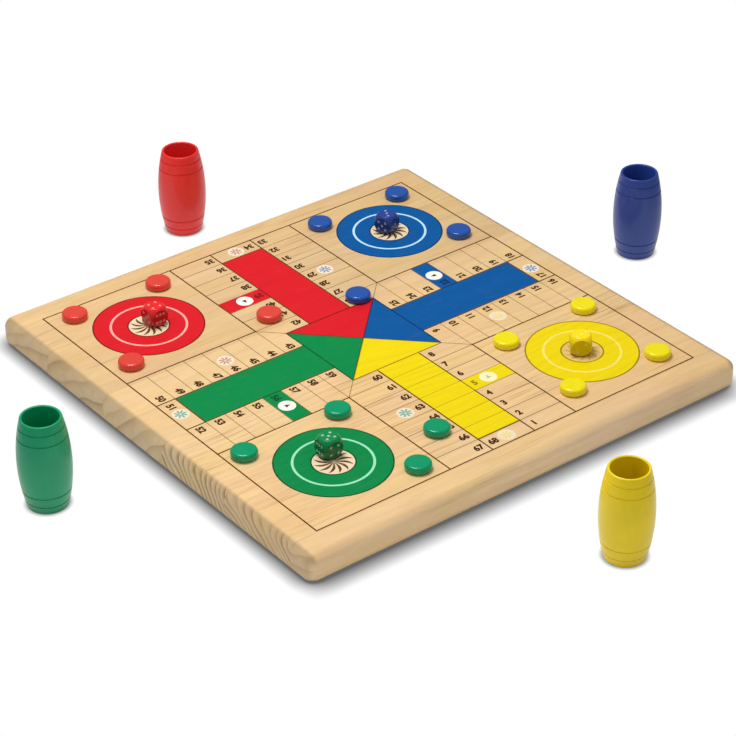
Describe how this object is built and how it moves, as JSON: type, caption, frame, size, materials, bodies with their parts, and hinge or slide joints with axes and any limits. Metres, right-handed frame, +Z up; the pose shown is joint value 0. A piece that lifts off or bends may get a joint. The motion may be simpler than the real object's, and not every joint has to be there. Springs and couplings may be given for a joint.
{
  "type": "ludo board with counters, dice and cups",
  "caption": "Square wooden ludo board printed in red, blue, yellow and green, with its round counters, rounded dice and turned throwing cups.",
  "frame": {"origin": "centre of the board's underside", "axes": "+Z up out of the printed side, +X along the board's staves towards the blue player, +Y towards the red player"},
  "size_m": [0.6034, 0.6041, 0.0728],
  "materials": {
    "pine": "sanded, clear matt lacquer",
    "ink_lines": "printed ink, matt",
    "ink_white": "printed ink, matt",
    "ink_red": "printed ink, matt",
    "ink_blue": "printed ink, matt",
    "ink_yellow": "printed ink, matt",
    "ink_green": "printed ink, matt",
    "red_plastic": "moulded, glossy",
    "blue_plastic": "moulded, glossy",
    "yellow_plastic": "moulded, glossy",
    "green_plastic": "moulded, glossy",
    "red_painted_wood": "turned wood, satin paint",
    "blue_painted_wood": "turned wood, satin paint",
    "yellow_painted_wood": "turned wood, satin paint",
    "green_painted_wood": "turned wood, satin paint"
  },
  "bodies": {
    "board": {"stave_1": "pine", "stave_2": "pine", "stave_3": "pine", "stave_4": "pine", "stave_5": "pine", "stave_6": "pine", "ink_lines": "ink_lines", "ink_white": "ink_white", "ink_red": "ink_red", "ink_blue": "ink_blue", "ink_yellow": "ink_yellow", "ink_green": "ink_green"},
    "counter_red_1": {"counter_red_1": "red_plastic"},
    "counter_red_2": {"counter_red_2": "red_plastic"},
    "counter_red_3": {"counter_red_3": "red_plastic"},
    "counter_red_4": {"counter_red_4": "red_plastic"},
    "counter_blue_1": {"counter_blue_1": "blue_plastic"},
    "counter_blue_2": {"counter_blue_2": "blue_plastic"},
    "counter_blue_3": {"counter_blue_3": "blue_plastic"},
    "counter_blue_4": {"counter_blue_4": "blue_plastic"},
    "counter_yellow_1": {"counter_yellow_1": "yellow_plastic"},
    "counter_yellow_2": {"counter_yellow_2": "yellow_plastic"},
    "counter_yellow_3": {"counter_yellow_3": "yellow_plastic"},
    "counter_yellow_4": {"counter_yellow_4": "yellow_plastic"},
    "counter_green_1": {"counter_green_1": "green_plastic"},
    "counter_green_2": {"counter_green_2": "green_plastic"},
    "counter_green_3": {"counter_green_3": "green_plastic"},
    "counter_green_4": {"counter_green_4": "green_plastic"},
    "die_red": {"die_red": "red_plastic"},
    "die_blue": {"die_blue": "blue_plastic"},
    "die_yellow": {"die_yellow": "yellow_plastic"},
    "die_green": {"die_green": "green_plastic"},
    "cup_red": {"cup_red": "red_painted_wood"},
    "cup_blue": {"cup_blue": "blue_painted_wood"},
    "cup_yellow": {"cup_yellow": "yellow_painted_wood"},
    "cup_green": {"cup_green": "green_painted_wood"}
  },
  "joints": [
    {"name": "counter_red_1_lift", "type": "slide", "parent": "board", "child": "counter_red_1", "axis": [0, 0, 1], "range_m": [0, 0.05]},
    {"name": "counter_red_2_lift", "type": "slide", "parent": "board", "child": "counter_red_2", "axis": [0, 0, 1], "range_m": [0, 0.05]},
    {"name": "counter_red_3_lift", "type": "slide", "parent": "board", "child": "counter_red_3", "axis": [0, 0, 1], "range_m": [0, 0.05]},
    {"name": "counter_red_4_lift", "type": "slide", "parent": "board", "child": "counter_red_4", "axis": [0, 0, 1], "range_m": [0, 0.05]},
    {"name": "counter_blue_1_lift", "type": "slide", "parent": "board", "child": "counter_blue_1", "axis": [0, 0, 1], "range_m": [0, 0.05]},
    {"name": "counter_blue_2_lift", "type": "slide", "parent": "board", "child": "counter_blue_2", "axis": [0, 0, 1], "range_m": [0, 0.05]},
    {"name": "counter_blue_3_lift", "type": "slide", "parent": "board", "child": "counter_blue_3", "axis": [0, 0, 1], "range_m": [0, 0.05]},
    {"name": "counter_blue_4_lift", "type": "slide", "parent": "board", "child": "counter_blue_4", "axis": [0, 0, 1], "range_m": [0, 0.05]},
    {"name": "counter_yellow_1_lift", "type": "slide", "parent": "board", "child": "counter_yellow_1", "axis": [0, 0, 1], "range_m": [0, 0.05]},
    {"name": "counter_yellow_2_lift", "type": "slide", "parent": "board", "child": "counter_yellow_2", "axis": [0, 0, 1], "range_m": [0, 0.05]},
    {"name": "counter_yellow_3_lift", "type": "slide", "parent": "board", "child": "counter_yellow_3", "axis": [0, 0, 1], "range_m": [0, 0.05]},
    {"name": "counter_yellow_4_lift", "type": "slide", "parent": "board", "child": "counter_yellow_4", "axis": [0, 0, 1], "range_m": [0, 0.05]},
    {"name": "counter_green_1_lift", "type": "slide", "parent": "board", "child": "counter_green_1", "axis": [0, 0, 1], "range_m": [0, 0.05]},
    {"name": "counter_green_2_lift", "type": "slide", "parent": "board", "child": "counter_green_2", "axis": [0, 0, 1], "range_m": [0, 0.05]},
    {"name": "counter_green_3_lift", "type": "slide", "parent": "board", "child": "counter_green_3", "axis": [0, 0, 1], "range_m": [0, 0.05]},
    {"name": "counter_green_4_lift", "type": "slide", "parent": "board", "child": "counter_green_4", "axis": [0, 0, 1], "range_m": [0, 0.05]},
    {"name": "die_red_lift", "type": "slide", "parent": "board", "child": "die_red", "axis": [0, 0, 1], "range_m": [0, 0.05]},
    {"name": "die_blue_lift", "type": "slide", "parent": "board", "child": "die_blue", "axis": [0, 0, 1], "range_m": [0, 0.05]},
    {"name": "die_yellow_lift", "type": "slide", "parent": "board", "child": "die_yellow", "axis": [0, 0, 1], "range_m": [0, 0.05]},
    {"name": "die_green_lift", "type": "slide", "parent": "board", "child": "die_green", "axis": [0, 0, 1], "range_m": [0, 0.05]},
    {"name": "cup_red_lift", "type": "slide", "parent": "board", "child": "cup_red", "axis": [0, 0, 1], "range_m": [0, 0.12]},
    {"name": "cup_blue_lift", "type": "slide", "parent": "board", "child": "cup_blue", "axis": [0, 0, 1], "range_m": [0, 0.12]},
    {"name": "cup_yellow_lift", "type": "slide", "parent": "board", "child": "cup_yellow", "axis": [0, 0, 1], "range_m": [0, 0.12]},
    {"name": "cup_green_lift", "type": "slide", "parent": "board", "child": "cup_green", "axis": [0, 0, 1], "range_m": [0, 0.12]}
  ]
}
